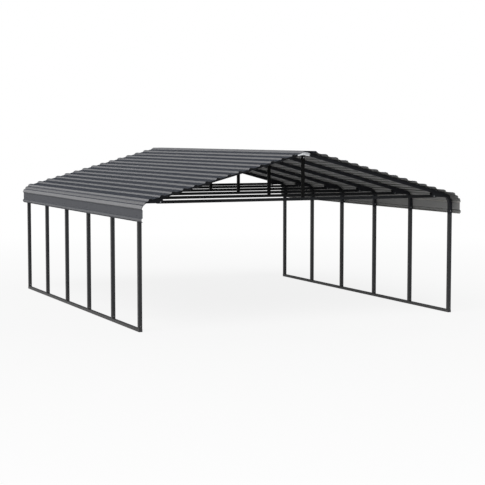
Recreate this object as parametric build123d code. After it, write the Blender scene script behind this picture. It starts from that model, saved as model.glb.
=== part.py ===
from build123d import *
from math import atan, cos, pi, sin, sqrt, tan
import os

# A double-width steel carport: six tube frames stand on two base rails and carry
# a low gable roof of ribbed sheet that rolls over each eave into a fascia.
# X runs across the carport, Y along the ridge, and Z up from the ground.
# The origin is on the ground, midway between the legs and midway along the ridge.
# All sizes are in millimetres.

# Frames
frame_count = 6
bay_length = 1364
leg_centre = 3000
roof_slope = 0.27
tube_size = 63.5
beam_height = 50.8
tube_wall = 2
tube_corner = 5
bend_radius = 180
rafter_underlay_height = 2965.9

# Heights and splices of the frame members; rails and tie beams are lower than they are wide
leg_splice_height = 1800
rafter_splice_reach = 2450
rafter_end_reach = 120
tie_height = 2136
tie_half_length = 2690

# King posts and the fittings at the peak
post_size = 50.8
post_wall = 2
post_bottom_height = tie_height + beam_height / 2
coupler_size = 58.5
coupler_wall = 3
coupler_flat_half = 50
coupler_bend_radius = 120
coupler_arm_reach = 300
coupler_stub_size = 45.8
coupler_stub_length = 80

# Corner gussets
gusset_thickness = 4
gusset_inner_reach = 2595
gusset_outer_reach = 2860
gusset_toe_reach = 2912
gusset_bottom_height = 2118
gusset_weld_lap = 15

# Roof sheet
sheet_thickness = 2
roof_overhang = 270
sheet_top_reach = 150
rib_pitch = 206.5
rib_first = 319.1
rib_count = 14
rib_top = 41
rib_flank = 25
rib_rise = 22
eave_radius = 190
seam_ribs = (5, 10)

# Fascia, which hangs a little clear of the legs, and the ribs that stiffen it and the rolled eave
fascia_gap = 6
fascia_bottom_height = 1821
eave_rib_small = dict(offset=100, top=24, flank=14, rise=12)
eave_rib_large = dict(offset=185, top=52, flank=20, rise=20)
lip_height = 1860
lip = dict(top=34, flank=16, rise=20)

# Ridge cap
cap_flat_half = 112
cap_foot_reach = 158
cap_edge_reach = 215
cap_top_height = 2965

# Values worked out from the driving dimensions
slope_angle = atan(roof_slope)
slope_cos = cos(slope_angle)
slope_sin = sin(slope_angle)
roof_length = (frame_count - 1) * bay_length + 2 * roof_overhang
first_frame = -(frame_count - 1) * bay_length / 2
frame_places = [first_frame + number * bay_length for number in range(frame_count)]
rail_length = (frame_count - 1) * bay_length + tube_size
tube_drop = tube_size / 2 / slope_cos
fascia_reach = leg_centre + tube_size / 2 + fascia_gap

os.makedirs("parts", exist_ok=True)


def underlay(reach):
    """Height of the plane that the roof sheet lies on, at a distance from the ridge."""
    return rafter_underlay_height - roof_slope * reach


def rafter_axis(reach):
    """Height of a rafter's centre line at a distance from the ridge."""
    return underlay(reach) - tube_drop


# Level middle of the peak coupler, and the face that the king post meets
coupler_flat_height = rafter_axis(coupler_flat_half)
coupler_underside = coupler_flat_height - coupler_size / 2


def save(name, solids):
    """Write one sub-part, as one solid or as several that do not touch."""
    solids = list(solids)
    shape = solids[0] if len(solids) == 1 else Compound(children=solids)
    shape.label = name
    export_step(shape, os.path.join("parts", name + ".step"))


def tube_section(width, height, wall, corner):
    """Tube seen end on, rounded outside."""
    return RectangleRounded(width, height, corner) - Rectangle(width - 2 * wall, height - 2 * wall)


def simple_tube_section(width, height, wall, corner):
    """Tube seen end on, its rounding drawn as flats that touch it, to keep bends and fittings simple."""
    flat = corner * (2 - sqrt(2))
    outside = chamfer(Rectangle(width, height).vertices(), flat)
    return outside - Rectangle(width - 2 * wall, height - 2 * wall)


def along(path, section):
    """Section carried along a path drawn in the plane of a frame."""
    start = Plane(origin=path @ 0, x_dir=(0, 1, 0), z_dir=path % 0)
    return sweep(start * section, path=path)


def mirrored(shape):
    """The same piece on the other side of the ridge."""
    return mirror(shape, about=Plane.YZ)


def at_frames(shape):
    """One copy of a piece at each frame."""
    return [Pos(0, place, 0) * shape for place in frame_places]


def make_leg():
    """Upright from the base rail to the splice under the eave bend."""
    path = Line((leg_centre, 0, beam_height), (leg_centre, 0, leg_splice_height))
    return along(path, tube_section(tube_size, tube_size, tube_wall, tube_corner))


def make_eave_bend():
    """Bent tube that turns from the leg into the slope of the roof."""
    path = FilletPolyline(
        (leg_centre, 0, leg_splice_height),
        (leg_centre, 0, rafter_axis(leg_centre)),
        (rafter_splice_reach, 0, rafter_axis(rafter_splice_reach)),
        radius=bend_radius,
    )
    return along(path, simple_tube_section(tube_size, tube_size, tube_wall, tube_corner))


def make_rafter():
    """Straight tube from the eave bend up to the peak coupler."""
    path = Line(
        (rafter_splice_reach, 0, rafter_axis(rafter_splice_reach)),
        (rafter_end_reach, 0, rafter_axis(rafter_end_reach)),
    )
    return along(path, tube_section(tube_size, tube_size, tube_wall, tube_corner))


def make_tie_beam():
    """Level tube across the frame, held between the corner gussets."""
    path = Line((-tie_half_length, 0, tie_height), (tie_half_length, 0, tie_height))
    return along(path, tube_section(tube_size, beam_height, tube_wall, tube_corner))


def make_base_rail():
    """Tube on the ground under one row of legs."""
    section = Plane.XZ * simple_tube_section(tube_size, beam_height, tube_wall, tube_corner)
    rail = extrude(section, rail_length / 2, both=True)
    return Pos(leg_centre, 0, beam_height / 2) * rail


def make_peak_coupler():
    """Fitting whose arms plug into both rafters and whose stub plugs into the king post."""
    arm_height = rafter_axis(coupler_arm_reach)
    path = FilletPolyline(
        (-coupler_arm_reach, 0, arm_height),
        (-coupler_flat_half, 0, coupler_flat_height),
        (coupler_flat_half, 0, coupler_flat_height),
        (coupler_arm_reach, 0, arm_height),
        radius=coupler_bend_radius,
    )
    arm_section = simple_tube_section(coupler_size, coupler_size, coupler_wall, tube_corner)
    stub_top = coupler_underside + coupler_wall
    stub_path = Line((0, 0, stub_top), (0, 0, stub_top - coupler_stub_length))
    stub_size = coupler_stub_size
    stub_section = simple_tube_section(stub_size, stub_size, coupler_wall, tube_corner)
    return along(path, arm_section) + along(stub_path, stub_section)


def make_king_post():
    """Upright from the middle of the tie beam to the peak coupler."""
    path = Line((0, 0, post_bottom_height), (0, 0, coupler_underside))
    return along(path, simple_tube_section(post_size, post_size, post_wall, tube_corner))


def make_gusset_pair():
    """Plates on the two faces of a frame's corner, between the rafter and the tie beam."""
    inner_top = underlay(gusset_inner_reach) - 2 * tube_drop + gusset_weld_lap
    outer_top = underlay(gusset_outer_reach) - 2 * tube_drop + gusset_weld_lap
    outline = Polyline(
        (gusset_inner_reach, gusset_bottom_height),
        (gusset_inner_reach, inner_top),
        (gusset_outer_reach, outer_top),
        (gusset_toe_reach, gusset_bottom_height),
        close=True,
    )
    plate = extrude(Plane.XZ * make_face(outline), gusset_thickness)
    front = Pos(0, -tube_size / 2, 0) * plate
    back = Pos(0, tube_size / 2 + gusset_thickness, 0) * plate
    return [front, back]


# The roof sheet is drawn on its developed line: a distance down the sheet from
# the ridge, and a level above the plane it lies on. The line runs straight down
# the slope, round the eave, and straight down the fascia.
eave_turn = pi / 2 - slope_angle
eave_x = fascia_reach - eave_radius
eave_z = underlay(eave_x) - eave_radius / slope_cos
eave_start = (eave_x + eave_radius * slope_sin) / slope_cos
eave_end = eave_start + eave_radius * eave_turn


def sheet_point(distance, level):
    """Place of a point of the sheet in the plane across the ridge."""
    if distance <= eave_start:
        reach = distance * slope_cos
        return (reach + level * slope_sin, underlay(reach) + level * slope_cos)
    if distance <= eave_end:
        angle = eave_turn - (distance - eave_start) / eave_radius
        radius = eave_radius + level
        return (eave_x + radius * cos(angle), eave_z + radius * sin(angle))
    return (fascia_reach + level, eave_z - (distance - eave_end))


def rib(centre, top, flank, rise, level):
    """Four corners of a rib on the sheet's upper face, or on its lower one at level 0."""
    half_angle = atan(rise / flank) / 2
    inset = (sheet_thickness - level) * tan(half_angle)
    half_top = top / 2 - inset
    return [
        (centre - half_top - flank, level),
        (centre - half_top, level + rise),
        (centre + half_top, level + rise),
        (centre + half_top + flank, level),
    ]


def field_rib(number, level):
    """Regular rib of the slope, counted from the ridge."""
    centre = rib_first + (number - 1) * rib_pitch
    return rib(centre, rib_top, rib_flank, rib_rise, level)


def nested_rib(number, level):
    """Lower half of the rib that a sheet tucks under the last rib of the sheet above."""
    centre = rib_first + (number - 1) * rib_pitch
    inset = 2 * sheet_thickness * tan(atan(rib_rise / rib_flank) / 2)
    rise = rib_rise - sheet_thickness
    corners = rib(centre, rib_top - inset, rib_flank * rise / rib_rise, rise, level)
    return corners[1:]


def eave_ribs(level):
    """Ribs of the rolled eave and the lip of the fascia, down to the lower edge."""
    corners = []
    for shape in (eave_rib_small, eave_rib_large):
        centre = eave_start + shape["offset"]
        corners += rib(centre, shape["top"], shape["flank"], shape["rise"], level)
    lip_centre = eave_end + eave_z - lip_height
    corners += rib(lip_centre, lip["top"], lip["flank"], lip["rise"], level)
    corners.append((eave_end + eave_z - fascia_bottom_height, level))
    return corners


def surface_edges(corners):
    """Edges of one face of the sheet: arcs where it lies round the eave, lines elsewhere."""
    edges = []
    for (start, start_level), (end, end_level) in zip(corners, corners[1:]):
        stops = [start, end]
        if start_level == end_level:
            low, high = sorted(stops)
            inner = [stop for stop in (eave_start, eave_end) if low < stop < high]
            stops = sorted(inner + stops, reverse=start > end)
        for here, there in zip(stops, stops[1:]):
            middle = (here + there) / 2
            first = sheet_point(here, start_level)
            last = sheet_point(there, end_level)
            if start_level == end_level and eave_start < middle < eave_end:
                edges.append(ThreePointArc(first, sheet_point(middle, start_level), last))
            else:
                edges.append(Line(first, last))
    return edges


def make_sheet(upper_face, lower_face):
    """Sheet between two faces given by their corners, run along the whole roof."""
    edges = surface_edges(upper_face) + surface_edges(lower_face[::-1])
    edges.append(Line(sheet_point(*upper_face[-1]), sheet_point(*lower_face[-1])))
    edges.append(Line(sheet_point(*lower_face[0]), sheet_point(*upper_face[0])))
    section = Plane.XZ * make_face(Wire(edges))
    return extrude(section, roof_length / 2, both=True)


def make_field_sheet(first_edge, ribs, last_rib):
    """Sheet of the slope that ends on the rib under which the next sheet tucks."""
    faces = []
    for level in (sheet_thickness, 0):
        corners = list(first_edge[level])
        for number in ribs:
            corners += field_rib(number, level)
        corners += field_rib(last_rib, level)[:3]
        faces.append(corners)
    upper_face, lower_face = faces
    upper_face.append(field_rib(last_rib, sheet_thickness)[3])
    lower_face.append(nested_rib(last_rib, sheet_thickness)[-1])
    return make_sheet(upper_face, lower_face)


def make_roof_sheets():
    """The three sheets of one slope, from the ridge down to the fascia."""
    levels = (sheet_thickness, 0)
    first_seam, second_seam = seam_ribs
    sheet_top = sheet_top_reach / slope_cos
    plain_edge = {level: [(sheet_top, level)] for level in levels}
    first_tuck = {level: nested_rib(first_seam, level) for level in levels}
    upper = make_field_sheet(plain_edge, range(1, first_seam), first_seam)
    middle = make_field_sheet(first_tuck, range(first_seam + 1, second_seam), second_seam)
    faces = []
    for level in levels:
        corners = list(nested_rib(second_seam, level))
        for number in range(second_seam + 1, rib_count + 1):
            corners += field_rib(number, level)
        faces.append(corners + eave_ribs(level))
    eave = make_sheet(*faces)
    return {"upper": upper, "middle": middle, "eave": eave}


def make_ridge_cap():
    """Flat-topped cap with a skirt and a flange down each slope."""
    lift = sheet_thickness / slope_cos

    def flange_height(reach, layer):
        return underlay(reach) + layer * lift

    inner_flat = cap_flat_half - sheet_thickness / 2
    inner_foot = cap_foot_reach - sheet_thickness / 2
    right_side = [
        (cap_flat_half, cap_top_height),
        (cap_foot_reach, flange_height(cap_foot_reach, 2)),
        (cap_edge_reach, flange_height(cap_edge_reach, 2)),
        (cap_edge_reach, flange_height(cap_edge_reach, 1)),
        (inner_foot, flange_height(inner_foot, 1)),
        (inner_flat, cap_top_height - sheet_thickness),
    ]
    left_side = [(-x, z) for x, z in reversed(right_side)]
    outline = Polyline(*right_side, *left_side, close=True)
    return extrude(Plane.XZ * make_face(outline), roof_length / 2, both=True)


# Legs, rafters and tie beams, numbered from the front of the carport
leg = make_leg()
rafter = make_rafter()
tie_beam = make_tie_beam()
for number, place in enumerate(frame_places, start=1):
    move = Pos(0, place, 0)
    save(f"leg_left_{number}", [move * mirrored(leg)])
    save(f"leg_right_{number}", [move * leg])
    save(f"rafter_left_{number}", [move * mirrored(rafter)])
    save(f"rafter_right_{number}", [move * rafter])
    save(f"tie_beam_{number}", [move * tie_beam])

# Bends, rails and sheets, one of each for each side
eave_bend = make_eave_bend()
base_rail = make_base_rail()
save("eave_bends_left", at_frames(mirrored(eave_bend)))
save("eave_bends_right", at_frames(eave_bend))
save("base_rail_left", [mirrored(base_rail)])
save("base_rail_right", [base_rail])
for name, sheet in make_roof_sheets().items():
    save(f"roof_sheet_left_{name}", [mirrored(sheet)])
    save(f"roof_sheet_right_{name}", [sheet])
save("ridge_cap", [make_ridge_cap()])

# Fittings of the peak and the corners
save("king_posts", at_frames(make_king_post()))
save("peak_couplers", at_frames(make_peak_coupler()))
gussets = []
for plate in make_gusset_pair():
    gussets += at_frames(plate) + at_frames(mirrored(plate))
save("corner_gussets", gussets)
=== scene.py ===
from functools import partial
from itertools import product
from math import atan, ceil, cos, exp, pi, radians, sin, tan
from random import Random

import bmesh
import bpy
from bpy.props import FloatProperty, FloatVectorProperty, PointerProperty
from bpy.types import Operator, Panel, PropertyGroup
from mathutils import Matrix, Vector


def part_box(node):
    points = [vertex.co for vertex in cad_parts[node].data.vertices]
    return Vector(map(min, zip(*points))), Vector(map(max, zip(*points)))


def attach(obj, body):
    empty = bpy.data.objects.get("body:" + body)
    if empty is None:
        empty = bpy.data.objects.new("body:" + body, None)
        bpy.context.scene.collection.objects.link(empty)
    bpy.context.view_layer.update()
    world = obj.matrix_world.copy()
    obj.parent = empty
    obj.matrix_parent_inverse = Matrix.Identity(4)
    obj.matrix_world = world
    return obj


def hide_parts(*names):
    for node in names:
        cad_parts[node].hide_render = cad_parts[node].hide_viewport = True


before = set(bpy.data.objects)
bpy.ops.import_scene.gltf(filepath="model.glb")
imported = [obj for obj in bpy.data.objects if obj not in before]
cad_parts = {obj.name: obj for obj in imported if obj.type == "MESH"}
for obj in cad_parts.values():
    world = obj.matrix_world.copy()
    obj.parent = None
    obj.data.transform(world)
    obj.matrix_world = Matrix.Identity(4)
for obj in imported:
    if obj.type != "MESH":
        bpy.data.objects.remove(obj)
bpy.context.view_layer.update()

bl_info = {
    "name": "Steel Carport",
    "version": (1, 0, 0),
    "blender": (4, 5, 0),
    "location": "3D View > Sidebar > Carport",
    "description": "Dresses a steel carport with folded sheets, bent tubes, bolts and coatings",
    "category": "Object",
}

SIDES = {"left": -1, "right": 1}
MM = 0.001

# Places read from the frame: X across the carport, Y along the ridge, Z up
LEG_LOW, LEG_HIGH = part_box("leg_right_1")
TIE_LOW, TIE_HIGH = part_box("tie_beam_1")
POST_LOW, POST_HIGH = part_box("king_posts")
CAP_LOW, CAP_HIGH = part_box("ridge_cap")
RAIL_LOW, RAIL_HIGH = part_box("base_rail_right")
FRAME_PLACES = [
    sum(corner.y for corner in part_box(f"leg_right_{number}")) / 2 for number in range(1, 7)
]
LEG_CENTRE = (LEG_LOW.x + LEG_HIGH.x) / 2
TUBE_SIZE = LEG_HIGH.x - LEG_LOW.x
SPLICE_HEIGHT = LEG_HIGH.z
TIE_CENTRE = (TIE_LOW.z + TIE_HIGH.z) / 2
POST_SIZE = POST_HIGH.x - POST_LOW.x
RAIL_DEPTH = RAIL_HIGH.z - RAIL_LOW.z

# The roof sheet: the plane it lies on, its turn at the eave, its fascia, its ribs and laps,
# and the rows of faces and the material slot that it is drawn with
UNDERLAY_AT_RIDGE = 2965.9 * MM
ROOF_SLOPE = 0.27
SLOPE_ANGLE = atan(ROOF_SLOPE)
EAVE_RADIUS = 190 * MM
EAVE_TURN = pi / 2 - SLOPE_ANGLE
FASCIA_GAP = 6 * MM
FASCIA_REACH = LEG_CENTRE + TUBE_SIZE / 2 + FASCIA_GAP
FASCIA_BOTTOM = 1821 * MM
LIP_HEIGHT = 1860 * MM
SHEET_TOP_REACH = 150 * MM
SEAM_RIBS = (5, 10)
RIB_COUNT = 14
SHEET_ROWS = 64
INNER_SLOT = 1

# Fittings and fasteners, as distances from the middle of the carport, heights and sizes
RAFTER_SPLICE_REACH = 2450 * MM
GUSSET_INNER_REACH = 2595 * MM
GUSSET_OUTER_REACH = 2860 * MM
GUSSET_THICKNESS = 4 * MM
GUSSET_LAP = 15 * MM
COUPLER_ARM_REACH = 300 * MM
COUPLER_FLAT_REACH = 50 * MM
COUPLER_BEND = 120 * MM
COUPLER_DISH = 0.6 * MM
STUB_SIZE = 45.8 * MM
STUB_LENGTH = 80 * MM
FITTING_CORNER = 5 * MM
KING_BOLT_HEIGHT = 2851 * MM
GUSSET_BOLT_REACH = 2640 * MM
RAFTER_BOLT_REACHES = (2390 * MM, 225 * MM)
LEG_BOLT_RISE = 60 * MM
FOOT_SCREW_RISE = 42 * MM
RUBBER_SLOT = 1

# Where the weathering and the painted highlights change, from one distance to the next: up
# from the ground, and along the ridge from the middle
SPLASH_FADES = (0.0, 0.26)
EAVE_RIBS_END = (2.016, 2.044)
LIP_ENDS = (1.88, 1.9)
LEDGE_HIGHLIGHT_HEIGHTS = (1.92, 2.0)
RAIN_DRIVES_IN = (3.25, 3.5)

# Stage: the lamps' angles across and the ways they shine, the camera's place, turn and
# sensor, and how far the floor reaches
KEY_ANGLE, KEY_WAY = 50, (0.52, 0.42, -0.74)
FILL_ANGLE, FILL_WAY = 40, (0.65, 0.75, 0.03)
CAMERA_PLACE = (-10.347, -23.797, 3.217)
CAMERA_DOWN, CAMERA_RIGHT = 4.599, 24.294
SENSOR_WIDTH = 36
FLOOR_REACH = 120
WHITE = (1, 1, 1, 1)


def linear(hex_colour):
    """Linear colour of an sRGB hex value."""
    channels = [int(hex_colour[place:place + 2], 16) / 255 for place in (0, 2, 4)]
    return [c / 12.92 if c <= 0.04045 else ((c + 0.055) / 1.055) ** 2.4 for c in channels] + [1.0]


def underlay(reach):
    """Height of the plane under the roof sheet at a distance from the ridge."""
    return UNDERLAY_AT_RIDGE - ROOF_SLOPE * reach


def rafter_axis(reach):
    """Height of a rafter's centre line at a distance from the ridge."""
    return underlay(reach) - TUBE_SIZE / 2 / cos(SLOPE_ANGLE)


EAVE_X = FASCIA_REACH - EAVE_RADIUS
EAVE_Z = underlay(EAVE_X) - EAVE_RADIUS / cos(SLOPE_ANGLE)
EAVE_START = (EAVE_X + EAVE_RADIUS * sin(SLOPE_ANGLE)) / cos(SLOPE_ANGLE)
EAVE_END = EAVE_START + EAVE_RADIUS * EAVE_TURN
SHEET_END = EAVE_END + EAVE_Z - FASCIA_BOTTOM


def length(name, description, millimetres):
    """A size that a user may change."""
    return FloatProperty(
        name=name, description=description, default=millimetres * MM, unit="LENGTH"
    )


def colour(name, description, hex_colour):
    """A colour that a user may change."""
    return FloatVectorProperty(
        name=name, description=description, default=linear(hex_colour), size=4, subtype="COLOR"
    )


def strength(name, description, default):
    """The strength of a light that a user may change."""
    return FloatProperty(name=name, description=description, default=default)


class CarportFrameSettings(PropertyGroup):
    """Sizes and colours of the tube frame."""

    tube_wall: length("Tube wall", "Wall of the frame tubes", 2)
    tube_corner: length("Tube corner", "Outside rounding of the frame tubes", 5)
    bend_radius: length("Bend radius", "Radius of the eave bends on the tube's centre line", 180)
    bend_dish: length("Bend dish", "How far the flat faces sink in where the tube is bent", 1.6)
    coupler_size: length("Coupler size", "Outside size of the peak coupler", 58.5)
    coupler_wall: length("Coupler wall", "Wall of the peak coupler", 3)
    powder_coat: colour("Powder coat", "Coating of the rafters, bends and gussets", "2B2C30")
    # Copy of the powder coat with more sheen, for the legs and rails that stand in the light
    leg_coat: colour("Leg coat", "Glossier coating of the legs and base rails", "232426")
    # Painted shade: darker copies of the powder coat for the tie beams and king posts under the
    # roof
    tie_coat_with_painted_shade: colour("Tie coat", "Darker coating of the tie beams", "1F2022")
    king_post_painted_shade: colour("Post coat", "Black coating of the king posts", "090909")
    road_dust: colour("Road dust", "Dust film near the ground", "4A4846")
    zinc: colour("Zinc", "Hot-dip zinc of the peak couplers", "E2E5E7")


class CarportRoofSettings(PropertyGroup):
    """Sizes and colours of the roof sheets and the ridge cap."""

    thickness: length("Sheet thickness", "Thickness of the roof sheet", 2)
    rib_pitch: length("Rib pitch", "Distance between ribs, along the slope", 206.5)
    rib_first: length("First rib", "Middle of the first rib, along the slope", 319.1)
    rib_top: length("Rib top", "Width of a rib's flat top", 41)
    rib_flank: length("Rib flank", "Width of a rib's sloping side", 25)
    rib_rise: length("Rib rise", "Height of a rib", 22)
    fold_radius: length("Fold radius", "Inside radius of the folds", 2.5)
    oil_canning: length("Oil canning", "How far the pans bow between the frames", 1.1)
    coil_coat: colour("Coil coat", "Paint of the outer face", "393C43")
    # Painted highlight: the lighter coat of the folds that face away from the ridge
    flank_highlight_coat: colour("Washed coat", "Outer face where rain keeps it clean", "8F8F91")
    # Dirt film in the pans, which also stands in for shade there
    grime_and_pan_shade: colour("Grime", "Film that stays in the pans", "313438")
    wash_coat: colour("Wash coat", "Thin paint of the inner face", "393937")
    # Painted highlight: the lighter inner face where the sheet stands upright
    upright_highlight_coat: colour("Clean wash coat", "Inner face where it stands upright", "A4A4A3")
    # Pale painted highlight on the folds that face up inside
    pale_ledge_highlight: colour("Ledge dust", "Pale dust on the folds that face up inside", "D8D6D1")


class CarportFastenerSettings(PropertyGroup):
    """Sizes and colours of the bolts and screws."""

    bolt_across_flats: length("Bolt across flats", "Width of a bolt's head", 17)
    bolt_washer: length("Bolt washer", "Diameter of a bolt's washer", 24)
    screw_across_flats: length("Screw across flats", "Width of a screw's head", 8)
    screw_washer: length("Screw washer", "Diameter of a screw's washer", 15)
    bolt_zinc: colour("Bolt zinc", "Zinc plating of the bolts, dulled outdoors", "949698")
    foot_zinc: colour("Foot zinc", "Dirty zinc plating of the screws at the legs' feet", "7C7E80")
    rubber: colour("Rubber", "Sealing washers under the roof screws", "1E1E1F")
    plug: colour("Plug", "Plastic plugs in the ends of the base rails", "18191B")


class CarportStageSettings(PropertyGroup):
    """Light, floor and camera."""

    key_strength: strength("Key strength", "Strength of the soft light from the upper left", 2.4)
    fill_strength: strength("Fill strength", "Strength of the low light from the front left", 0.5)
    sky_strength: strength("Sky strength", "Strength of the light from all round", 0.3)
    lens: FloatProperty(
        name="Lens", description="Focal length of the camera", default=98.1 * MM, unit="CAMERA"
    )
    floor: colour("Floor", "Pale floor under the carport", "D6D6D6")


# Nodes and materials


# Sockets of the Mix node that carry colours, and the ends of a Map Range node's two ranges
COLOUR_A = 6
COLOUR_B = 7
FROM = ("From Min", "From Max")
TO = ("To Min", "To Max")


def fill_inputs(node, inputs):
    """Give a node's inputs their values and links. A node stands for its first output in use."""
    for name, source in inputs.items():
        if isinstance(source, bpy.types.Node):
            source = next(output for output in source.outputs if output.enabled)
        if isinstance(name, tuple):
            fill_inputs(node, dict(zip(name, source)))
        elif isinstance(source, bpy.types.NodeSocket):
            node.id_data.links.new(source, node.inputs[name])
        else:
            node.inputs[name].default_value = source


def add_node(tree, kind, inputs=None, **settings):
    """One node with its settings, the values of its sockets and the links into it."""
    node = tree.nodes.new(f"ShaderNode{kind}")
    for name, value in settings.items():
        setattr(node, name, value)
    fill_inputs(node, inputs or {})
    return node


def new_material(name):
    """A material, its shader and the function that adds nodes to it."""
    material = bpy.data.materials.new(name)
    material.use_nodes = True
    tree = material.node_tree
    return material, tree.nodes["Principled BSDF"], partial(add_node, tree)


def surface_of(add):
    """The point of the surface, and its place and its normal split into X, Y and Z."""
    coordinates = add("TexCoord")
    point = coordinates.outputs["Object"]
    place = add("SeparateXYZ", {"Vector": point})
    normal = add("SeparateXYZ", {"Vector": coordinates.outputs["Normal"]})
    return point, place.outputs, normal.outputs


def mottled(add, base, pattern, tones, spread=(0.0, 1.0)):
    """A base colour, darkened and lightened where a pattern goes from one end of its spread
    to the other."""
    tone = add("MapRange", {"Value": pattern, FROM: spread, TO: tones})
    return add("HueSaturation", {"Value": tone, "Color": base})


def powder_coated_tube(name, powder, dust, specular):
    """Polyester powder coat, baked on square steel tube. It gives a deep charcoal with a satin
    sheen, fine orange peel that breaks up the highlights, and a dust film near the ground
    that is kept off level faces, so that they stay darker as painted shade."""
    material, shader, add = new_material(name)
    point, place, normal = surface_of(add)
    height, upward = place["Z"], normal["Z"]
    # Slow change of tone between batches of powder, about 300 mm across
    cloud = add("TexNoise", {"Vector": point, "Scale": 1 / 0.3, "Detail": 2.0})
    coat = mottled(add, powder, cloud, (0.88, 1.12), spread=(0.3, 0.7))
    # Dust splashed up to about 250 mm, in patches about 35 mm across. Level faces get less
    # of it and stay darker, as painted shade on the tops
    low = add("MapRange", {"Value": height, FROM: SPLASH_FADES, TO: (0.75, 0.0)})
    patches = add("TexNoise", {"Vector": point, "Scale": 1 / 0.035, "Detail": 4.0})
    painted_top_shade_mask = add("MapRange", {"Value": upward, FROM: (0.3, 0.9), TO: (1.0, 0.35)})
    dusty = add("Math", {0: low, 1: patches}, operation="MULTIPLY")
    film = add("Math", {0: dusty, 1: painted_top_shade_mask}, operation="MULTIPLY")
    # Mix in the dust, which leaves level faces darker as painted shade
    coat_and_painted_light = add("Mix", {"Factor": film, COLOUR_A: coat, COLOUR_B: dust}, data_type="RGBA")
    # Sun and rain chalk the coat where it faces the sky, so level faces lose their sheen
    chalked = add("MapRange", {"Value": upward, FROM: (0.3, 0.9)})
    dulled = add("Math", {0: film, 1: chalked}, operation="MAXIMUM")
    sheen = add("MapRange", {"Value": dulled, TO: (0.42, 0.9)})
    # Orange peel is 1 to 2 mm across, and is drawn at 5 mm so that it shows
    peel = add("TexNoise", {"Vector": point, "Scale": 1 / 0.005, "Detail": 1.0})
    bump = add("Bump", {"Height": peel, "Strength": 0.12, "Distance": 0.0004})
    fill_inputs(shader, {
        "Base Color": coat_and_painted_light, "Roughness": sheen, "Normal": bump, "Specular IOR Level": specular,
    })
    return material


def coil_coated_sheet(name, settings, highlight_facing):
    """Polyester paint, roller coated and baked on galvanised coil. It gives a low gloss charcoal
    with a painted highlight on the folds that face away from the ridge, and a darker film with
    streaks in the pans, partly dirt and partly painted shade. Highlight facing says how far a
    fold faces away from the ridge where the painted highlight begins, and where it is full."""
    material, shader, add = new_material(name)
    point, place, normal = surface_of(add)
    height = place["Z"]
    # How far a fold faces away from the ridge: 0.26 in a pan, 0.83 on a flank, 1 on the fascia
    side = add("Math", {0: place["X"]}, operation="SIGN")
    outward = add("Math", {0: normal["X"], 1: side}, operation="MULTIPLY")
    # Painted highlight on the folds that face away from the ridge
    highlight_by_facing = add("MapRange", {"Value": outward, FROM: highlight_facing})
    # Painted highlight by height: weaker on the fascia below the eave ribs, stronger on its lip
    fascia_highlight = add("MapRange", {"Value": height, FROM: EAVE_RIBS_END, TO: (0.33, 1.0)})
    lip_highlight = add("MapRange", {"Value": height, FROM: LIP_ENDS, TO: (0.6, 0.33)})
    highlight_by_height = add("Math", {0: fascia_highlight, 1: lip_highlight}, operation="MAXIMUM")
    highlight_share = add("Math", {0: highlight_by_facing, 1: highlight_by_height}, operation="MULTIPLY")
    # Mix the painted highlight into the coat
    highlighted = add("Mix", {
        "Factor": highlight_share, COLOUR_A: settings.coil_coat, COLOUR_B: settings.flank_highlight_coat,
    }, data_type="RGBA")
    # Run-off streaks down the slope: about 60 mm wide and a metre long
    stretched = add("Mapping", {"Vector": point, "Scale": (1.0, 1 / 0.06, 1.0)})
    streaks = add("TexNoise", {"Vector": stretched, "Scale": 1.0, "Detail": 4.0, "Roughness": 0.6})
    film = add("MapRange", {"Value": streaks, FROM: (0.35, 0.75), TO: (0.0, 0.6)})
    # The dirt film is kept to the pans, where it also darkens them as painted shade
    held = add("MapRange", {"Value": outward, FROM: (0.3, 0.8), TO: (1.0, 0.25)})
    grime_and_pan_shade_share = add("Math", {0: film, 1: held}, operation="MULTIPLY")
    coat_with_grime_and_painted_light = add(
        "Mix", {"Factor": grime_and_pan_shade_share, COLOUR_A: highlighted, COLOUR_B: settings.grime_and_pan_shade}, data_type="RGBA"
    )
    dulled = add("MapRange", {"Value": grime_and_pan_shade_share, FROM: (0.0, 0.6), TO: (0.62, 0.85)})
    # Roller grain along the coil is finer than 1 mm, and is drawn 4 mm wide so that it shows
    rolled = add("Mapping", {"Vector": point, "Scale": (1 / 0.004, 1 / 0.2, 1 / 0.004)})
    grain = add("TexNoise", {"Vector": rolled, "Scale": 1.0, "Detail": 2.0})
    bump = add("Bump", {"Height": grain, "Strength": 0.1, "Distance": 0.0003})
    fill_inputs(shader, {
        "Base Color": coat_with_grime_and_painted_light, "Roughness": dulled, "Normal": bump, "Specular IOR Level": 0.015,
    })
    return material


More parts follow.
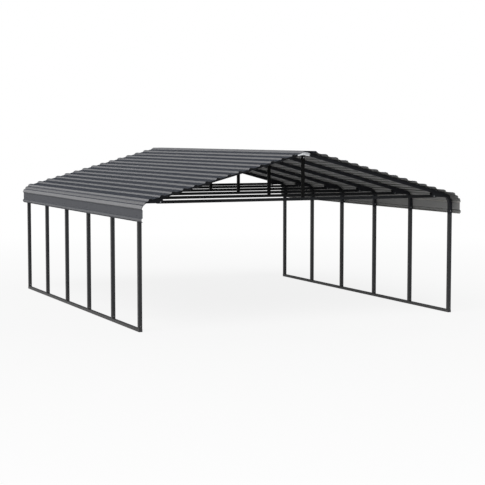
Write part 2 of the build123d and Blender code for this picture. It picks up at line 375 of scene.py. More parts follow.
def wash_coated_back(settings):
    """Thin polyester wash coat on the back of the coil. It gives a flat grey with faint lines
    along the coil, a painted highlight that makes it lighter where the sheet stands upright,
    and a pale painted highlight on the ledges that face up inside."""
    material, shader, add = new_material("wash_coated_back")
    point, place, normal = surface_of(add)
    # Painted highlight on the inner faces that stand upright
    sideways = add("Math", {0: normal["X"]}, operation="ABSOLUTE")
    upright = add("MapRange", {"Value": sideways, FROM: (0.5, 0.8)})
    upright_lit = add("Mix", {
        "Factor": upright, COLOUR_A: settings.wash_coat, COLOUR_B: settings.upright_highlight_coat,
    }, data_type="RGBA")
    # Pale painted highlight on the ledges of the eave ribs that face up inside, weaker at the lip
    ledge = add("MapRange", {"Value": normal["Z"], FROM: (0.15, 0.5)})
    ledge_highlight_height = add("MapRange", {"Value": place["Z"], FROM: LEDGE_HIGHLIGHT_HEIGHTS, TO: (0.35, 1.0)})
    ledge_highlight_share = add("Math", {0: ledge, 1: ledge_highlight_height}, operation="MULTIPLY")
    coat_and_painted_light = add("Mix", {
        "Factor": ledge_highlight_share, COLOUR_A: upright_lit, COLOUR_B: settings.pale_ledge_highlight,
    }, data_type="RGBA")
    # Roller lines about 12 mm wide and 2 m long
    rolled = add("Mapping", {"Vector": point, "Scale": (1 / 0.012, 1 / 2.0, 1 / 0.012)})
    lines = add("TexNoise", {"Vector": rolled, "Scale": 1.0, "Detail": 3.0})
    tone = add("MapRange", {"Value": lines, FROM: (0.3, 0.7), TO: (0.94, 1.06)})
    # Rain drives in at the open ends and leaves a darker film on the last 400 mm
    from_middle = add("Math", {0: place["Y"]}, operation="ABSOLUTE")
    driven = add("MapRange", {"Value": from_middle, FROM: RAIN_DRIVES_IN, TO: (1.0, 0.55)})
    shade = add("Math", {0: tone, 1: driven}, operation="MULTIPLY")
    coat = add("HueSaturation", {"Value": shade, "Color": coat_and_painted_light})
    sheen = add("MapRange", {"Value": lines, TO: (0.5, 0.66)})
    bump = add("Bump", {"Height": lines, "Strength": 0.08, "Distance": 0.0003})
    fill_inputs(shader, {
        "Base Color": coat, "Roughness": sheen, "Normal": bump, "Specular IOR Level": 0.1,
    })
    return material


def hot_dip_zinc(settings):
    """Zinc frozen on steel out of the bath. It gives a bright grey metal whose crystals, the
    spangle, catch the light one by one."""
    material, shader, add = new_material("hot_dip_zinc")
    place = add("TexCoord").outputs["Object"]
    # Spangle about 9 mm across
    crystals = add("TexVoronoi", {"Vector": place, "Scale": 1 / 0.009})
    shade = add("SeparateColor", {"Color": crystals.outputs["Color"]})
    metal = mottled(add, settings.zinc, shade.outputs["Red"], (0.9, 1.08))
    sheen = add("MapRange", {"Value": shade.outputs["Green"], TO: (0.25, 0.45)})
    bump = add("Bump", {
        "Height": crystals.outputs["Distance"], "Strength": 0.2, "Distance": 0.0003,
    })
    fill_inputs(shader, {"Base Color": metal, "Roughness": sheen, "Normal": bump, "Metallic": 1.0})
    return material


def zinc_plated_steel(name, zinc):
    """Electroplated zinc on rolled bolts. It gives small bright heads with a slight haze, and
    duller ones at the feet of the legs, where splashed dirt clings."""
    material, shader, add = new_material(name)
    place = add("TexCoord").outputs["Object"]
    # Haze from handling, in patches about 6 mm across
    haze = add("TexNoise", {"Vector": place, "Scale": 1 / 0.006, "Detail": 3.0})
    metal = mottled(add, zinc, haze, (0.85, 1.1))
    sheen = add("MapRange", {"Value": haze, TO: (0.2, 0.42)})
    fill_inputs(shader, {"Base Color": metal, "Roughness": sheen, "Metallic": 1.0})
    return material


def dull_polymer(name, base, roughness, grain_size):
    """EPDM rubber or moulded polyethylene: near black, with a fine grain that dulls the sheen."""
    material, shader, add = new_material(name)
    place = add("TexCoord").outputs["Object"]
    grain = add("TexNoise", {"Vector": place, "Scale": 1 / grain_size, "Detail": 2.0})
    body = mottled(add, base, grain, (0.8, 1.2))
    sheen = add("MapRange", {"Value": grain, TO: roughness})
    bump = add("Bump", {"Height": grain, "Strength": 0.15, "Distance": 0.0002})
    fill_inputs(shader, {"Base Color": body, "Roughness": sheen, "Normal": bump})
    return material


FINISHES = {}


def finish(name, make, *arguments):
    """The material of that name, made once."""
    if name not in FINISHES:
        FINISHES[name] = make(*arguments)
    return FINISHES[name]


def tube_finish(context, part="tube"):
    """Powder coat of the frame, in copies for light and shade: more sheen on the legs and rails,
    darker painted shade on the tie beams and black painted shade on the king posts.
    """
    settings = context.scene.carport_frame
    # Copies of one powder coat: sheen for the legs and rails in the light, painted shade under the
    # roof
    powder, specular = {
        "tube": (settings.powder_coat, 0.07),
        "leg": (settings.leg_coat, 0.3),
        "rail": (settings.leg_coat, 0.4),
        "tie_beam": (settings.tie_coat_with_painted_shade, 0.05),
        "king_post": (settings.king_post_painted_shade, 0.06),
    }[part]
    dust = settings.road_dust
    return finish(part, powder_coated_tube, f"powder_coated_{part}", powder, dust, specular)


def sheet_finishes(context, part="sheet"):
    """Coil coat of the outer face and wash coat of the inner one. On the ridge cap the painted
    highlight begins at a gentler slope than on the ribs, so that the cap's skirt reads lighter."""
    roof = context.scene.carport_roof
    # Facings at which the painted highlight begins and is full, on the sheets and on the cap
    highlight_facing = {"sheet": (0.43, 0.95), "cap": (0.33, 0.75)}[part]
    outer = finish(part, coil_coated_sheet, f"coil_coated_{part}", roof, highlight_facing)
    return [outer, finish("back", wash_coated_back, roof)]


def bolt_finish(context, part="bolt"):
    """Zinc plating of the bolts, and the dirtier one of the screws at the legs' feet."""
    settings = context.scene.carport_fasteners
    zinc = {"bolt": settings.bolt_zinc, "foot_screw": settings.foot_zinc}[part]
    return finish(part, zinc_plated_steel, f"zinc_plated_{part}", zinc)


# Mesh making


def add_object(name, data):
    """Object of a mesh, lamp or camera, in the scene."""
    thing = bpy.data.objects.new(name, data)
    bpy.context.scene.collection.objects.link(thing)
    return thing


def mesh_object(name, mesh, materials):
    """Object of a finished mesh, with its materials."""
    data = bpy.data.meshes.new(name)
    mesh.to_mesh(data)
    mesh.free()
    for material in materials:
        data.materials.append(material)
    return add_object(name, data)


def make_piece(name, mesh, materials, replaced=(), crease=40):
    """Piece of the carport, which rides on it and may stand for CAD nodes."""
    bmesh.ops.recalc_face_normals(mesh, faces=mesh.faces)
    for face in mesh.faces:
        face.smooth = True
    for edge in mesh.edges:
        edge.smooth = edge.calc_face_angle(0) < radians(crease)
    piece = mesh_object(name, mesh, materials)
    normals = piece.modifiers.new("Flat faces stay flat", "WEIGHTED_NORMAL")
    normals.keep_sharp = True
    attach(piece, "root")
    if replaced:
        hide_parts(*replaced)
    return piece


def join_rings(mesh, rings, closed=False, material=0):
    """Faces between rings of the same number of points."""
    rows = [[mesh.verts.new(point) for point in ring] for ring in rings]
    pairs = list(zip(rows, rows[1:]))
    if closed:
        pairs.append((rows[-1], rows[0]))
    for low, high in pairs:
        for place in range(len(low)):
            after = (place + 1) % len(low)
            face = mesh.faces.new((low[place], low[after], high[after], high[place]))
            face.material_index = material
    return rows


def solid_of_rings(mesh, rings, material=0):
    """Faces between rings, and over the first and the last one."""
    rows = join_rings(mesh, rings, material=material)
    for row in (rows[0][::-1], rows[-1]):
        mesh.faces.new(row).material_index = material


def section_ring(width, depth, corner, corner_steps=4, face_points=3):
    """Points round a rounded rectangle, seen end on."""
    points = []
    half_width = width / 2 - corner
    half_depth = depth / 2 - corner
    for quarter, (x, y) in enumerate(((1, 1), (-1, 1), (-1, -1), (1, -1))):
        for step in range(corner_steps + 1):
            angle = (quarter + step / corner_steps) * pi / 2
            points.append(
                Vector((x * half_width + corner * cos(angle), y * half_depth + corner * sin(angle)))
            )
    ring = []
    for place, point in enumerate(points):
        ring.append(point)
        if place % (corner_steps + 1) == corner_steps:
            following = points[(place + 1) % len(points)]
            for step in range(1, face_points + 1):
                ring.append(point.lerp(following, step / (face_points + 1)))
    return ring


def tube_rings(width, depth, corner, wall):
    """The outside and the inside of a tube, seen end on."""
    inside = section_ring(width - 2 * wall, depth - 2 * wall, corner - wall)
    return section_ring(width, depth, corner), inside


def dished(ring, depth):
    """A ring whose two faces across the bend sink in towards its middle."""
    half_width = max(point.x for point in ring)
    half_depth = max(point.y for point in ring)
    sunk = []
    for point in ring:
        share = (abs(point.y) / half_depth) ** 8 * (1 - (point.x / half_width) ** 2)
        sunk.append(Vector((point.x, point.y - depth * share * (1 if point.y > 0 else -1))))
    return sunk


def place_ring(station, ring, scale=1.0, along=0.0):
    """A ring set in space at a station."""
    return [station @ Vector((point.x * scale, point.y * scale, along)) for point in ring]


def hollow_tube(mesh, stations, outside, inside):
    """Tube whose section is carried through stations, each with its dish, with softened ends."""
    edge = 0.7 * MM
    small = 1 - edge / max(point.x for point in outside)
    first, last = stations[0][0], stations[-1][0]
    rings = [place_ring(first, outside, small), place_ring(first, outside, along=edge)]
    for station, dish in stations[1:-1]:
        rings.append(place_ring(station, dished(outside, dish)))
    rings += [place_ring(last, outside, along=-edge), place_ring(last, outside, small)]
    rings.append(place_ring(last, inside))
    for station, dish in reversed(stations[1:-1]):
        rings.append(place_ring(station, dished(inside, dish)))
    rings.append(place_ring(first, inside))
    join_rings(mesh, rings, closed=True)


def frame_station(point, y, heading):
    """Station of a tube in the plane of a frame, from its place and heading in that plane."""
    onward = Vector((heading.x, 0, heading.y)).normalized()
    across = Vector((0, 1, 0))
    station = Matrix((across, onward.cross(across), onward)).transposed().to_4x4()
    station.translation = (point.x, y, point.y)
    return station


def bent_line(corners, radius, y, dish, steps):
    """Stations of a tube bent at the inner corners of a line in the plane of a frame."""
    points = [Vector(corner) for corner in corners]
    heading = (points[1] - points[0]).normalized()
    stations = [(frame_station(points[0], y, heading), 0.0)]
    for corner, following in zip(points[1:], points[2:]):
        onward = (following - corner).normalized()
        turn = heading.angle_signed(onward)
        start = corner - heading * radius * abs(tan(turn / 2))
        side = 1 if turn > 0 else -1
        centre = start + Vector((heading.y, -heading.x)) * radius * side
        for step in range(steps + 1):
            turned = Matrix.Rotation(-turn * step / steps, 2)
            point = centre + turned @ (start - centre)
            weight = sin(pi * step / steps)
            stations.append((frame_station(point, y, turned @ heading), dish * weight))
        heading = onward
    stations.append((frame_station(points[-1], y, heading), 0.0))
    return stations


def tube_in_each_frame(mesh, rings, corners, radius=0.0, dish=0.0, steps=20):
    """The same tube in each of the frames."""
    for place in FRAME_PLACES:
        hollow_tube(mesh, bent_line(corners, radius, place, dish, steps), *rings)


def rail_station(side, y, way=1):
    """Station at an end of a base rail, looking along the ridge to the back, or to the front."""
    turn = Matrix(((1, 0, 0, 0), (0, 0, way, 0), (0, 1, 0, 0), (0, 0, 0, 1)))
    return Matrix.Translation((side * LEG_CENTRE, y, RAIL_DEPTH / 2)) @ turn


def facing(place, direction, spin=0.0):
    """Matrix that stands a part on a surface, pointing away from it."""
    turn = Vector(direction).to_track_quat("Z", "Y").to_matrix().to_4x4()
    return Matrix.Translation(place) @ turn @ Matrix.Rotation(spin, 4, "Z")


def turned_part(mesh, matrix, profile, sides, material=0):
    """Part with that many sides round its axis, from its radius and height at each step."""
    angles = [2 * pi * side / sides for side in range(sides)]
    rings = [
        [matrix @ Vector((radius * cos(angle), radius * sin(angle), height)) for angle in angles]
        for radius, height in profile
    ]
    solid_of_rings(mesh, rings, material)


def hex_part(mesh, matrix, across_flats, low, high):
    """Hexagon with chamfered corners."""
    radius = across_flats / 2 / cos(pi / 6)
    chamfer = (high - low) * 0.16
    foot = ((radius * 0.93, low), (radius, low + chamfer))
    turned_part(mesh, matrix, (*foot, (radius, high - chamfer), (radius * 0.9, high)), 6)


def bolt_through(mesh, middle, direction, grip, settings, spin):
    """Bolt with its head on one face, and its washer, nut and thread end on the other."""
    flats = Vector(direction)
    head = facing(Vector(middle) + flats * grip / 2, flats, spin)
    nut = facing(Vector(middle) - flats * grip / 2, -flats, spin + 0.4)
    radius, top, ease = settings.bolt_washer / 2, 2 * MM, 0.4 * MM
    washer = ((radius - ease, 0.0), (radius, ease), (radius, top - ease), (radius - ease, top))
    for matrix, height in ((head, 8.4 * MM), (nut, 9.8 * MM)):
        turned_part(mesh, matrix, washer, 20)
        hex_part(mesh, matrix, settings.bolt_across_flats, top, height)
    thread = ((4.9 * MM, 9.6 * MM), (4.9 * MM, 13 * MM), (4.2 * MM, 14 * MM))
    turned_part(mesh, nut, thread, 14)


def washer_head_screw(mesh, place, direction, settings, spin, sealed=True):
    """Self-drilling screw with a flanged hexagon head, on a rubber washer where it is sealed."""
    matrix = facing(place, direction, spin)
    width = settings.screw_washer
    base = 0.0
    if sealed:
        bulge = ((width * 0.47, 0.0), (width * 0.5, 0.9 * MM), (width * 0.45, 2 * MM))
        turned_part(mesh, matrix, bulge, 16, RUBBER_SLOT)
        base = 1.9 * MM
    brim, crown = width * 0.45, width * 0.33
    flange = ((brim, base), (brim, base + 0.7 * MM), (crown, base + 1.6 * MM))
    turned_part(mesh, matrix, flange, 16)
    hex_part(mesh, matrix, settings.screw_across_flats, base + 1.3 * MM, base + 5.6 * MM)


def weld_bead(mesh, start, end, radius, random):
    """Bead along a seam, with the ripples that the pool leaves and rounded ends."""
    start, end = Vector(start), Vector(end)
    run = (end - start).length
    matrix = facing(start, end - start)
    ripple = 3.2 * MM
    count = max(6, ceil(run / (ripple / 2)))
    angles = [2 * pi * side / 8 for side in range(8)]
    rings = []
    for step in range(count + 1):
        share = step / count
        ends = min(1.0, min(share, 1 - share) * run / radius / 1.5) ** 0.5
        crest = 0.1 if step % 2 else -0.08
        swell = radius * max(ends, 0.25) * (1.0 + crest + random.uniform(-0.05, 0.05))
        wander = random.uniform(-0.2, 0.2) * MM
        rings.append([
            matrix @ Vector((swell * cos(angle) + wander, swell * sin(angle), share * run))
            for angle in angles
        ])
    solid_of_rings(mesh, rings)


# The folded roof sheet, drawn on its developed line: a distance down the sheet from
# the ridge, and a level above the plane it lies on


def sheet_point(distance, level):
    """Place of a point of the right-hand sheet, seen from the front."""
    if distance <= EAVE_START:
        reach = distance * cos(SLOPE_ANGLE)
        return (reach + level * sin(SLOPE_ANGLE), underlay(reach) + level * cos(SLOPE_ANGLE))
    if distance <= EAVE_END:
        angle = EAVE_TURN - (distance - EAVE_START) / EAVE_RADIUS
        radius = EAVE_RADIUS + level
        return (EAVE_X + radius * cos(angle), EAVE_Z + radius * sin(angle))
    return (FASCIA_REACH + level, EAVE_Z - (distance - EAVE_END))


def sheet_facing(distance):
    """Direction that the sheet's outer face looks in."""
    return Vector(sheet_point(distance, 1.0)) - Vector(sheet_point(distance, 0.0))


def rib_corners(centre, top, flank, rise, level, thickness):
    """Four corners of a rib on the sheet's outer face, or on its inner one at level 0."""
    inset = (thickness - level) * tan(atan(rise / flank) / 2)
    half_top = top / 2 - inset
    return [
        (centre - half_top - flank, level),
        (centre - half_top, level + rise),
        (centre + half_top, level + rise),
        (centre + half_top + flank, level),
    ]


def rib_centre(roof, number):
    """Middle of a regular rib, counted from the ridge."""
    return roof.rib_first + (number - 1) * roof.rib_pitch


def field_rib(roof, number, level):
    """Corners of a regular rib."""
    centre = rib_centre(roof, number)
    return rib_corners(centre, roof.rib_top, roof.rib_flank, roof.rib_rise, level, roof.thickness)


def nested_rib(roof, number, level):
    """Lower part of a rib, where a sheet tucks under the last rib of the sheet above."""
    inset = 2 * roof.thickness * tan(atan(roof.rib_rise / roof.rib_flank) / 2)
    rise = roof.rib_rise - roof.thickness
    flank = roof.rib_flank * rise / roof.rib_rise
    top = roof.rib_top - inset
    return rib_corners(rib_centre(roof, number), top, flank, rise, level, roof.thickness)[1:]


def eave_corners(roof, level):
    """Corners of the two ribs of the rolled eave, the lip of the fascia and the lower edge."""
    lip_centre = EAVE_END + EAVE_Z - LIP_HEIGHT
    # Middle, width of the top, width of a flank, and rise
    ribs = (
        (EAVE_START + 100 * MM, 24 * MM, 14 * MM, 12 * MM),
        (EAVE_START + 185 * MM, 52 * MM, 20 * MM, 20 * MM),
        (lip_centre, 34 * MM, 16 * MM, 20 * MM),
    )
    corners = []
    for centre, top, flank, rise in ribs:
        corners += rib_corners(centre, top, flank, rise, level, roof.thickness)
    return corners + [(SHEET_END, level)]


def sheet_faces(roof, name):
    """Corners of the outer and the inner face of one of the three sheets."""
    # The rib that each sheet starts under, if there is a sheet above, and the one it ends on
    first_seam, second_seam = SEAM_RIBS
    start, last = {
        "upper": (0, first_seam), "middle": (first_seam, second_seam), "eave": (second_seam, None)
    }[name]
    faces = []
    for level in (roof.thickness, 0.0):
        if start:
            corners = nested_rib(roof, start, level)
        else:
            corners = [(SHEET_TOP_REACH / cos(SLOPE_ANGLE), level)]
        for number in range(start + 1, last or RIB_COUNT + 1):
            corners += field_rib(roof, number, level)
        corners += field_rib(roof, last, level)[:3] if last else eave_corners(roof, level)
        faces.append(corners)
    outer, inner = faces
    if last:
        outer.append(field_rib(roof, last, roof.thickness)[3])
        inner.append(nested_rib(roof, last, roof.thickness)[-1])
    return outer, inner


def folded_line(corners, roof, outer):
    """Points along one face, with rounded folds. Each has how freely it bows and in which pan."""
    points = [Vector(corner) for corner in corners]
    runs = []
    start = points[0]
    for before, corner, after in zip(points, points[1:], points[2:]):
        inward = (before - corner).normalized()
        onward = (after - corner).normalized()
        turn = pi - inward.angle(onward)
        clockwise = inward.x * onward.y - inward.y * onward.x > 0
        radius = roof.fold_radius + (roof.thickness if clockwise == outer else 0.0)
        room = 0.45 * min((before - corner).length, (after - corner).length)
        reach = min(radius * tan(turn / 2), room)
        fold = []
        for share in (0.0, 0.25, 0.5, 0.75, 1.0):
            fold.append(
                (corner + inward * reach) * (1 - share) ** 2
                + corner * 2 * share * (1 - share)
                + (corner + onward * reach) * share**2
            )
        runs.append((start, fold))
        start = fold[-1]
    line = []
    pan = 0
    for start, fold in runs + [(start, [points[-1]])]:
        end = fold[0]
        run = (end - start).length
        level_run = abs(start.y - end.y) < 1e-6
        rolled = EAVE_START < (start.x + end.x) / 2 < EAVE_END + 20 * MM
        count = max(1, ceil(run / (11 * MM if level_run and rolled else 26 * MM)))
        bows = level_run and run > 80 * MM
        pan += bows
        for step in range(count):
            share = step / count
            free = 4 * share * (1 - share) if bows else 0.0
            line.append((*start.lerp(end, share), free, pan))
        for point in fold[:-1]:
            line.append((*point, 0.0, pan))
    line.append((*points[-1], 0.0, pan))
    return line


def bow(y, pan, random_phases):
    """How far a pan stands proud between the frames, from 0 to 1: nothing where screws hold it."""
    # Screws hold about 160 mm each way, and the pans wave about every 1.1 and 0.47 m
    held = 1.0
    for place in FRAME_PLACES:
        held = min(held, 1 - exp(-(((y - place) / 0.16) ** 2)))
    first, second, third = random_phases[pan % len(random_phases)]
    wave = 0.5 + 0.3 * sin(2 * pi * y / 1.1 + first) + 0.2 * sin(2 * pi * y / 0.47 + second)
    return held * wave * (0.6 + 0.4 * sin(third))


def folded_sheet(roof, side_name, name, coats, seed):
    """One of a slope's three sheets, run along the roof, whose pans bow a little."""
    side = SIDES[side_name]
    outer, inner = sheet_faces(roof, name)
    outer, inner = folded_line(outer, roof, True), folded_line(inner, roof, False)
    random = Random(seed)
    phases = [[random.uniform(0, 2 * pi) for _ in range(3)] for _ in range(9)]
    mesh = bmesh.new()
    loop = outer + inner[::-1]
    rings = []
    for number in range(SHEET_ROWS + 1):
        y = CAP_LOW.y + (CAP_HIGH.y - CAP_LOW.y) * number / SHEET_ROWS
        ring = []
        for distance, level, free, pan in loop:
            lift = roof.oil_canning * free * bow(y, pan, phases) if free else 0.0
            x, z = sheet_point(distance, level + lift)
            ring.append(Vector((side * x, y, z)))
        rings.append(ring)
    solid_of_rings(mesh, rings)
    for place, face in enumerate(mesh.faces):
        if place < SHEET_ROWS * len(loop) and place % len(loop) >= len(outer):
            face.material_index = INNER_SLOT
    replaced = [f"roof_sheet_{side_name}_{name}"]
    make_piece(f"folded_sheet_{side_name}_{name}", mesh, coats, replaced)


def softened_copy(node, width):
    """Mesh of a CAD node with its edges eased."""
    mesh = bmesh.new()
    mesh.from_mesh(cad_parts[node].data)
    bmesh.ops.remove_doubles(mesh, verts=mesh.verts, dist=0.01 * MM)
    bmesh.ops.dissolve_limit(mesh, angle_limit=radians(1), verts=mesh.verts, edges=mesh.edges)
    sharp = [edge for edge in mesh.edges if edge.calc_face_angle(0) > radians(20)]
    bmesh.ops.bevel(mesh, geom=sharp, offset=width, segments=2, profile=0.5, affect="EDGES")
    return mesh


def along_roof(count, margin):
    """Evenly spaced places along the roof, with a margin at each end."""
    low, high = CAP_LOW.y + margin, CAP_HIGH.y - margin
    return [low + (high - low) * number / (count - 1) for number in range(count)]


# Pieces


class CARPORT_OT_straight_tubes(Operator):
    """Coat the legs, rafters and tie beams, whose CAD shapes are right as they are"""

    bl_idname = "carport.straight_tubes"
    bl_label = "Coat straight tubes"

    def execute(self, context):
        parts = {"leg": "leg", "rafter": "tube", "tie": "tie_beam"}
        for name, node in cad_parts.items():
            part = parts.get(name.split("_")[0])
            if part:
                node.data.materials.clear()
                node.data.materials.append(tube_finish(context, part))
        return {"FINISHED"}


class CARPORT_OT_eave_bends(Operator):
    """Make the bent tubes at the eaves, dished where they are bent"""

    bl_idname = "carport.eave_bends"
    bl_label = "Make eave bends"

    def execute(self, context):
        settings = context.scene.carport_frame
        rings = tube_rings(TUBE_SIZE, TUBE_SIZE, settings.tube_corner, settings.tube_wall)
        coat = tube_finish(context)
        for name, side in SIDES.items():
            mesh = bmesh.new()
            corners = (
                (side * LEG_CENTRE, SPLICE_HEIGHT),
                (side * LEG_CENTRE, rafter_axis(LEG_CENTRE)),
                (side * RAFTER_SPLICE_REACH, rafter_axis(RAFTER_SPLICE_REACH)),
            )
            tube_in_each_frame(mesh, rings, corners, settings.bend_radius, settings.bend_dish)
            replaced = [f"eave_bends_{name}"]
            make_piece(f"bent_eave_tubes_{name}", mesh, [coat], replaced)
        return {"FINISHED"}


class CARPORT_OT_base_rails(Operator):
    """Make the two tubes on the ground and the plugs in their ends"""

    bl_idname = "carport.base_rails"
    bl_label = "Make base rails"

    def execute(self, context):
        settings = context.scene.carport_frame
        rings = tube_rings(TUBE_SIZE, RAIL_DEPTH, settings.tube_corner, settings.tube_wall)
        coat = tube_finish(context, "rail")
        black, grain = context.scene.carport_fasteners.plug, 1.5 * MM
        plastic = finish("plug", dull_polymer, "moulded_polyethylene", black, (0.4, 0.6), grain)
        # Width and height of a plug's steps, from the end of the rail outwards
        plug = ((0.98, 0.0), (1.0, 0.6 * MM), (1.0, 2.4 * MM), (0.95, 3.8 * MM), (0.6, 4.6 * MM))
        for name, side in SIDES.items():
            rail = bmesh.new()
            stations = [(rail_station(side, y), 0.0) for y in (RAIL_LOW.y, RAIL_HIGH.y)]
            hollow_tube(rail, stations, *rings)
            make_piece(f"ground_rail_{name}", rail, [coat], [f"base_rail_{name}"])
            plugs = bmesh.new()
            for y, way in ((RAIL_LOW.y, -1), (RAIL_HIGH.y, 1)):
                place = rail_station(side, y, way)
                steps = [place_ring(place, rings[0], scale, along) for scale, along in plug]
                solid_of_rings(plugs, steps)
            make_piece(f"rail_end_plugs_{name}", plugs, [plastic])
        return {"FINISHED"}


class CARPORT_OT_king_posts(Operator):
    """Make the uprights between the tie beams and the peak"""

    bl_idname = "carport.king_posts"
    bl_label = "Make king posts"

    def execute(self, context):
        settings = context.scene.carport_frame
        rings = tube_rings(POST_SIZE, POST_SIZE, settings.tube_corner, settings.tube_wall)
        mesh = bmesh.new()
        tube_in_each_frame(mesh, rings, ((0, POST_LOW.z), (0, POST_HIGH.z)))
        coat = tube_finish(context, "king_post")
        make_piece("king_post_tubes", mesh, [coat], ["king_posts"])
        return {"FINISHED"}


class CARPORT_OT_peak_couplers(Operator):
    """Make the galvanised fittings that join the rafters and the king posts"""

    bl_idname = "carport.peak_couplers"
    bl_label = "Make peak couplers"

    def execute(self, context):
        settings = context.scene.carport_frame
        size, wall = settings.coupler_size, settings.coupler_wall
        arm_rings = tube_rings(size, size, FITTING_CORNER, wall)
        stub_rings = tube_rings(STUB_SIZE, STUB_SIZE, FITTING_CORNER, wall)
        reaches = (-COUPLER_ARM_REACH, -COUPLER_FLAT_REACH, COUPLER_FLAT_REACH, COUPLER_ARM_REACH)
        arms = [(reach, rafter_axis(abs(reach))) for reach in reaches]
        stub_top = rafter_axis(COUPLER_FLAT_REACH) - size / 2 + wall
        stub = ((0, stub_top), (0, stub_top - STUB_LENGTH))
        mesh = bmesh.new()
        tube_in_each_frame(mesh, arm_rings, arms, COUPLER_BEND, COUPLER_DISH, steps=6)
        tube_in_each_frame(mesh, stub_rings, stub)
        zinc = finish("zinc", hot_dip_zinc, settings)
        make_piece("galvanised_peak_couplers", mesh, [zinc], ["peak_couplers"])
        return {"FINISHED"}


class CARPORT_OT_gussets(Operator):
    """Make the corner plates and the welds that hold them and the king posts"""

    bl_idname = "carport.gussets"
    bl_label = "Make gussets and welds"

    def execute(self, context):
        plates = softened_copy("corner_gussets", 0.8 * MM)
        coat = tube_finish(context)
        make_piece("gusset_plates", plates, [coat], ["corner_gussets"])
        random = Random(11)
        beads = bmesh.new()
        seam_drop = TUBE_SIZE / cos(SLOPE_ANGLE) - GUSSET_LAP - 1 * MM
        seam = (GUSSET_INNER_REACH + 4 * MM, GUSSET_OUTER_REACH - 4 * MM)
        for side, place, face in product(SIDES.values(), FRAME_PLACES, (-1, 1)):
            y = place + face * (TUBE_SIZE / 2 + 1.2 * MM)
            start, end = ((side * reach, y, underlay(reach) - seam_drop) for reach in seam)
            weld_bead(beads, start, end, 3.2 * MM, random)
        half = POST_SIZE / 2
        feet = [(-half, -half), (half, -half), (half, half), (-half, half)]
        for place in FRAME_PLACES:
            corners = [(x, place + y, POST_LOW.z + 1 * MM) for x, y in feet]
            for start, end in zip(corners, corners[1:] + corners[:1]):
                weld_bead(beads, start, end, 2.6 * MM, random)
        make_piece("weld_beads", beads, [coat], crease=80)
        return {"FINISHED"}


class CARPORT_OT_frame_bolts(Operator):
    """Make the bolts of the splices, gussets and peak, and the screws at the legs' feet"""

    bl_idname = "carport.frame_bolts"
    bl_label = "Make frame bolts"

    def execute(self, context):
        settings = context.scene.carport_fasteners
        random = Random(5)
        bright = bmesh.new()
        coated = bmesh.new()
        front = (0, -1, 0)
        gusset_grip = TUBE_SIZE + 2 * GUSSET_THICKNESS
        for place in FRAME_PLACES:
            spots = [(bright, 0, KING_BOLT_HEIGHT, POST_SIZE)]
            for side in SIDES.values():
                spots += [
                    (bright, side * GUSSET_BOLT_REACH, TIE_CENTRE, gusset_grip),
                    (bright, side * LEG_CENTRE, SPLICE_HEIGHT + LEG_BOLT_RISE, TUBE_SIZE),
                ]
                for reach in RAFTER_BOLT_REACHES:
                    spots.append((coated, side * reach, rafter_axis(reach), TUBE_SIZE))
            for mesh, x, z, grip in spots:
                bolt_through(mesh, (x, place, z), front, grip, settings, random.uniform(0, 1))
        make_piece("frame_bolts", bright, [bolt_finish(context)], crease=25)
        make_piece("splice_bolts", coated, [tube_finish(context)], crease=25)
        screws = bmesh.new()
        for side, place in product(SIDES.values(), FRAME_PLACES):
            centre = Vector((side * LEG_CENTRE, place, RAIL_HIGH.z + FOOT_SCREW_RISE))
            for direction in (front, (side, 0, 0)):
                spot = centre + Vector(direction) * TUBE_SIZE / 2
                spin = random.uniform(0, 1)
                washer_head_screw(screws, spot, direction, settings, spin, sealed=False)
        zinc = bolt_finish(context, "foot_screw")
        make_piece("leg_foot_screws", screws, [zinc], crease=25)
        return {"FINISHED"}


class CARPORT_OT_roof_sheets(Operator):
    """Make the three folded sheets of each slope, down to the rolled eave and the fascia"""

    bl_idname = "carport.roof_sheets"
    bl_label = "Make roof sheets"

    def execute(self, context):
        roof = context.scene.carport_roof
        coats = sheet_finishes(context)
        for side_name, side in SIDES.items():
            for number, name in enumerate(("upper", "middle", "eave")):
                folded_sheet(roof, side_name, name, coats, seed=20 + number + 5 * side)
        return {"FINISHED"}


class CARPORT_OT_ridge_cap(Operator):
    """Make the folded cap along the ridge"""

    bl_idname = "carport.ridge_cap"
    bl_label = "Make ridge cap"

    def execute(self, context):
        mesh = softened_copy("ridge_cap", 0.4 * MM)
        coats = sheet_finishes(context, "cap")
        make_piece("folded_ridge_cap", mesh, coats, ["ridge_cap"])
        return {"FINISHED"}


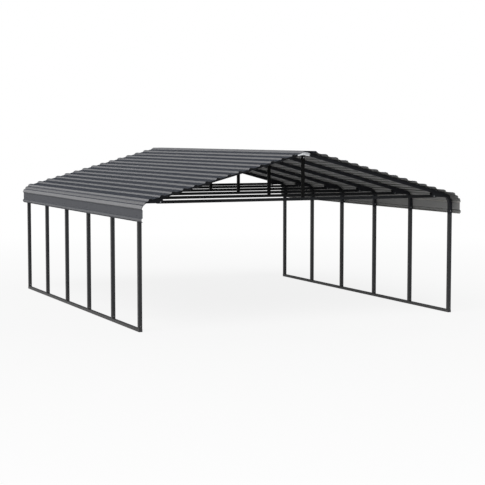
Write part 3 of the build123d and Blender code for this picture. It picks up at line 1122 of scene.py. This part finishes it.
class CARPORT_OT_roof_screws(Operator):
    """Make the screws of the pans, fascias, side laps and ridge cap"""

    bl_idname = "carport.roof_screws"
    bl_label = "Make roof screws"

    def execute(self, context):
        roof = context.scene.carport_roof
        settings = context.scene.carport_fasteners
        grain = 2 * MM
        rubber = finish("rubber", dull_polymer, "epdm_rubber", settings.rubber, (0.7, 0.9), grain)
        heads = [sheet_finishes(context)[0], rubber]
        level = roof.thickness
        # In each pan beside a rib and on the fascia, along the laps, and along the cap's skirt
        pan_screw = roof.rib_top / 2 + roof.rib_flank + 22 * MM
        held = [rib_centre(roof, number) + pan_screw for number in range(1, RIB_COUNT + 1)]
        held += [EAVE_END + 70 * MM, EAVE_END + 150 * MM]
        spots = [(distance, level, place) for place in FRAME_PLACES for distance in held]
        for number in SEAM_RIBS:
            seam = (rib_centre(roof, number), level + roof.rib_rise)
            spots += [(*seam, y) for y in along_roof(18, 130 * MM)]
        skirt = ((CAP_HIGH.x - 24 * MM) / cos(SLOPE_ANGLE), 2 * level)
        spots += [(*skirt, y) for y in along_roof(22, 100 * MM)]
        random = Random(3)
        for side_name, side in SIDES.items():
            mesh = bmesh.new()
            for distance, rise, y in spots:
                x, z = sheet_point(distance, rise)
                way = sheet_facing(distance)
                shift = random.uniform(-3, 3) * MM
                spin = random.uniform(0, 1)
                washer_head_screw(
                    mesh, (side * x, y + shift, z), (side * way.x, 0, way.y), settings, spin
                )
            make_piece(f"roof_screws_{side_name}", mesh, heads, crease=25)
        return {"FINISHED"}


def seen_directly(add):
    """1 for the camera, a mirror image or a view through glass, and 0 for light on the carport."""
    path = add("LightPath")
    rays = {0: path.outputs["Is Camera Ray"], 1: path.outputs["Is Glossy Ray"]}
    seen = add("Math", rays, operation="MAXIMUM")
    rays = {0: seen, 1: path.outputs["Is Transmission Ray"]}
    return add("Math", rays, operation="MAXIMUM")


class CARPORT_OT_stage(Operator):
    """Set up the floor, the light and the camera"""

    bl_idname = "carport.stage"
    bl_label = "Set the stage"

    def execute(self, context):
        stage = context.scene.carport_stage
        context.scene.view_settings.view_transform = "Standard"
        self.lay_floor(stage)
        self.light(context.scene, stage)
        data = bpy.data.cameras.new("camera")
        data.lens = stage.lens / MM
        data.sensor_width = SENSOR_WIDTH
        camera = add_object("camera", data)
        camera.location = CAMERA_PLACE
        camera.rotation_euler = (radians(90 - CAMERA_DOWN), 0, radians(-CAMERA_RIGHT))
        context.scene.camera = camera
        return {"FINISHED"}

    def lay_floor(self, stage):
        """Pale floor that keeps the carport's shadow and fades to white behind it"""
        mesh = bmesh.new()
        bmesh.ops.create_grid(mesh, x_segments=1, y_segments=1, size=FLOOR_REACH)
        material, shader, add = new_material("pale_studio_floor")
        fill_inputs(shader, {
            "Base Color": stage.floor, "Roughness": 0.9, "Specular IOR Level": 0.0,
        })
        place = add("TexCoord").outputs["Object"]
        distance = add("VectorMath", {0: place}, operation="LENGTH")
        # Nearly white under the carport, and all white from 18 m away
        fade = add("MapRange", {"Value": distance, FROM: (5.0, 18.0), TO: (0.86, 1.0)})
        share = add("Math", {0: seen_directly(add), 1: fade}, operation="MULTIPLY")
        white = add("Emission", {"Color": WHITE, "Strength": 1.0})
        mixed = add("MixShader", {0: share, 1: shader, 2: white})
        fill_inputs(material.node_tree.nodes["Material Output"], {"Surface": mixed})
        floor = mesh_object("floor", mesh, [material])
        floor.location.z = -0.5 * MM

    def light(self, scene, stage):
        """Soft light from the upper left and the front left, in a white studio"""
        key = ("key", stage.key_strength, KEY_ANGLE, KEY_WAY)
        fill = ("fill", stage.fill_strength, FILL_ANGLE, FILL_WAY)
        for name, energy, angle, way in (key, fill):
            data = bpy.data.lights.new(name, "SUN")
            data.energy = energy
            data.angle = radians(angle)
            lamp = add_object(name, data)
            lamp.rotation_euler = Vector(way).to_track_quat("-Z", "Y").to_euler()
        world = bpy.data.worlds.new("white_studio")
        world.use_nodes = True
        scene.world = world
        nodes = world.node_tree.nodes
        add = partial(add_node, world.node_tree)
        sky = nodes["Background"]
        fill_inputs(sky, {"Color": WHITE, "Strength": stage.sky_strength})
        white = add("Background", {"Color": WHITE, "Strength": 1.0})
        mixed = add("MixShader", {0: seen_directly(add), 1: sky, 2: white})
        fill_inputs(nodes["World Output"], {"Surface": mixed})


SETTINGS = {
    "carport_frame": CarportFrameSettings,
    "carport_roof": CarportRoofSettings,
    "carport_fasteners": CarportFastenerSettings,
    "carport_stage": CarportStageSettings,
}
OPERATORS = (
    CARPORT_OT_straight_tubes,
    CARPORT_OT_eave_bends,
    CARPORT_OT_base_rails,
    CARPORT_OT_king_posts,
    CARPORT_OT_peak_couplers,
    CARPORT_OT_gussets,
    CARPORT_OT_frame_bolts,
    CARPORT_OT_roof_sheets,
    CARPORT_OT_ridge_cap,
    CARPORT_OT_roof_screws,
    CARPORT_OT_stage,
)


class CARPORT_PT_pieces(Panel):
    """The carport's pieces and settings"""

    bl_idname = "CARPORT_PT_pieces"
    bl_label = "Steel Carport"
    bl_space_type = "VIEW_3D"
    bl_region_type = "UI"
    bl_category = "Carport"

    def draw(self, context):
        for operator in OPERATORS:
            self.layout.operator(operator.bl_idname)
        for group, settings in SETTINGS.items():
            box = self.layout.box()
            for name in settings.__annotations__:
                box.prop(getattr(context.scene, group), name)


CLASSES = (*SETTINGS.values(), *OPERATORS, CARPORT_PT_pieces)


def register():
    """Make the settings, operators and panel known."""
    for kind in CLASSES:
        bpy.utils.register_class(kind)
    for group, settings in SETTINGS.items():
        setattr(bpy.types.Scene, group, PointerProperty(type=settings))


def unregister():
    """Take the settings, operators and panel away."""
    for group in SETTINGS:
        delattr(bpy.types.Scene, group)
    for kind in reversed(CLASSES):
        bpy.utils.unregister_class(kind)


def main():
    """Dress the carport."""
    register()
    for operator in OPERATORS:
        group, name = operator.bl_idname.split(".")
        getattr(getattr(bpy.ops, group), name)()


if __name__ == "__main__":
    main()
